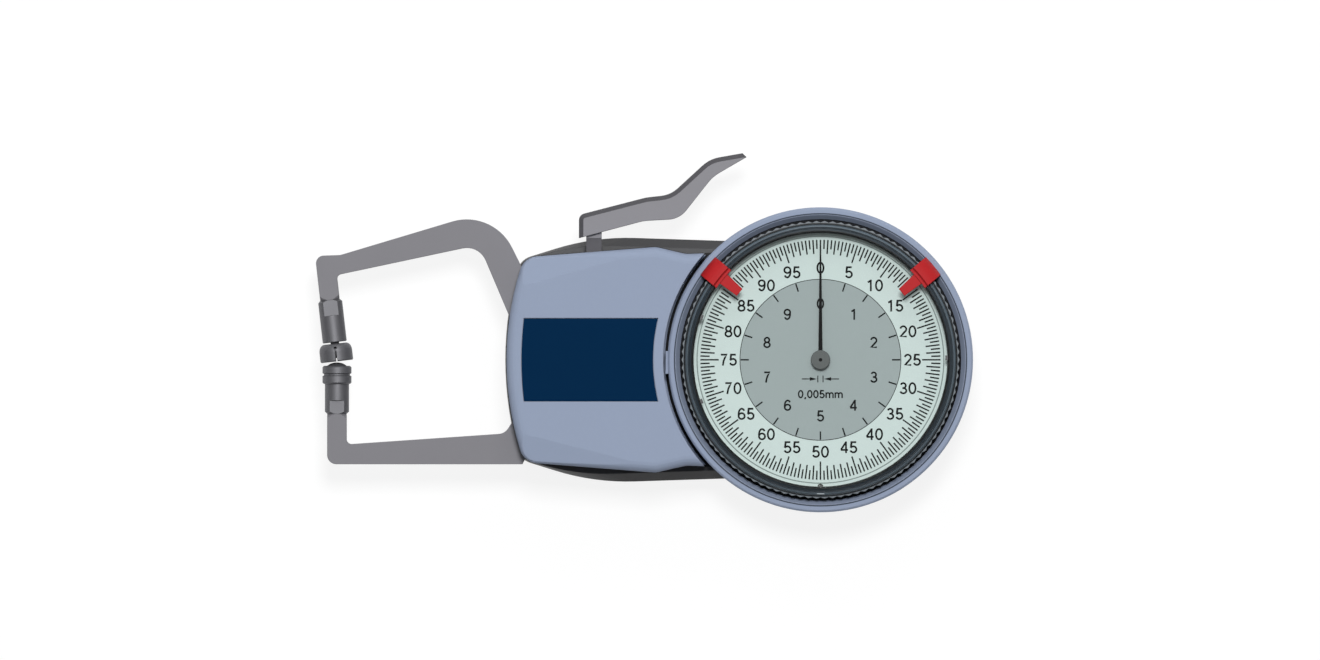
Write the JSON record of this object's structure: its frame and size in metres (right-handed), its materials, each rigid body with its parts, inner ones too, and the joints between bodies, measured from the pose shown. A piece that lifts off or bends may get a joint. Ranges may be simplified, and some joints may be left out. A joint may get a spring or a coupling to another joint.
{
  "type": "dial caliper gauge",
  "caption": "Hand-held dial caliper gauge with a fixed lower arm, a sprung swinging upper arm worked by a thumb lever, a round analogue dial and red tolerance markers.",
  "frame": {"origin": "on the dial axis, on the back face of the case", "axes": "+Z out of the dial, +X from the arms to the dial, +Y towards the thumb lever"},
  "size_m": [0.1358, 0.0742, 0.0258],
  "materials": {
    "case_plastic": "fine textured moulding",
    "seal_rubber": "matt black rubber",
    "blue_enamel": "satin pale blue enamel",
    "label_blue": "bare dark blue plate",
    "screw_steel": "turned steel",
    "brass": "machined brass",
    "arm_steel": "satin grey plated steel",
    "contact_steel": "turned hardened steel",
    "lever_alloy": "satin grey lacquer",
    "hand_black": "black lacquer on aluminium",
    "hub_grey": "turned grey",
    "bezel_black": "black moulded plastic, satin",
    "crystal_clear": "clear acrylic",
    "dial_white": "printed pale dial",
    "marker_red": "red moulded plastic"
  },
  "bodies": {
    "housing": {"rear_case": "case_plastic", "case_gasket": "seal_rubber", "front_cover": "blue_enamel", "label_plate": "label_blue", "dial_ring": "blue_enamel", "case_screws": "screw_steel", "frame_plate": "brass", "frame_screws": "screw_steel", "pivot_pin": "screw_steel", "lower_arm": "arm_steel", "lower_arm_screws": "screw_steel", "lower_contact": "contact_steel", "bridge_plate": "brass", "bridge_pillars": "screw_steel", "bridge_screws": "screw_steel", "arbor_bushes": "brass", "reduction_stud": "screw_steel", "return_spring": "screw_steel"},
    "swing_arm": {"upper_arm": "arm_steel", "arm_hub": "brass", "arm_screws": "screw_steel", "press_lever": "lever_alloy", "lever_screws": "screw_steel", "sector_gear": "brass", "sector_screws": "screw_steel", "upper_contact_stem": "contact_steel"},
    "swivel": {"swivel_cup": "contact_steel"},
    "intermediate": {"intermediate_arbor": "screw_steel", "intermediate_wheel": "brass"},
    "centre": {"centre_arbor": "screw_steel", "cannon_pinion": "brass", "long_hand": "hand_black", "hand_hub": "hub_grey"},
    "reduction": {"reduction_wheel": "brass"},
    "millimetre": {"hour_wheel": "brass", "short_hand": "hand_black"},
    "bezel_group": {"bezel": "bezel_black", "bezel_retainer": "screw_steel", "crystal": "crystal_clear", "crystal_seal": "seal_rubber", "dial_face": "dial_white"},
    "left_marker": {"marker_left": "marker_red"},
    "right_marker": {"marker_right": "marker_red"}
  },
  "joints": [
    {"name": "arm_swing", "type": "hinge", "parent": "housing", "child": "swing_arm", "pos_m": [-0.0563, 0.00462, 0.016], "axis": [0, 0, -1], "range_deg": [0, 13.04], "stiffness_Nm_per_rad": 0.1, "springref_deg": -25.21, "deforming": ["return_spring"]},
    {"name": "cup_swivel", "type": "hinge", "parent": "swing_arm", "child": "swivel", "pos_m": [-0.10021, 0.00194, 0.016], "axis": [0, 0, 1], "range_deg": [-5, 5]},
    {"name": "intermediate_turn", "type": "hinge", "parent": "housing", "child": "intermediate", "pos_m": [-0.01148, -0.00609, 0.009], "axis": [0, 0, -1], "continuous": true},
    {"name": "long_hand_turn", "type": "hinge", "parent": "housing", "child": "centre", "pos_m": [0, 0, 0.0213], "axis": [0, 0, -1], "continuous": true},
    {"name": "reduction_turn", "type": "hinge", "parent": "housing", "child": "reduction", "pos_m": [-0.0084, 0, 0.016], "axis": [0, 0, -1], "continuous": true},
    {"name": "short_hand_turn", "type": "hinge", "parent": "housing", "child": "millimetre", "pos_m": [0, 0, 0.0208], "axis": [0, 0, -1], "continuous": true},
    {"name": "bezel_turn", "type": "hinge", "parent": "housing", "child": "bezel_group", "pos_m": [0, 0, 0.021], "axis": [0, 0, 1], "continuous": true},
    {"name": "left_marker_slide", "type": "hinge", "parent": "bezel_group", "child": "left_marker", "pos_m": [0, 0, 0.0252], "axis": [0, 0, 1], "range_deg": [-40, 120]},
    {"name": "right_marker_slide", "type": "hinge", "parent": "bezel_group", "child": "right_marker", "pos_m": [0, 0, 0.0252], "axis": [0, 0, 1], "range_deg": [-120, 40]}
  ],
  "couplings": [
    {"joint": "intermediate_turn", "follows": "arm_swing", "ratio": -23},
    {"joint": "long_hand_turn", "follows": "arm_swing", "ratio": 276},
    {"joint": "reduction_turn", "follows": "arm_swing", "ratio": -69},
    {"joint": "short_hand_turn", "follows": "arm_swing", "ratio": 27.6}
  ]
}
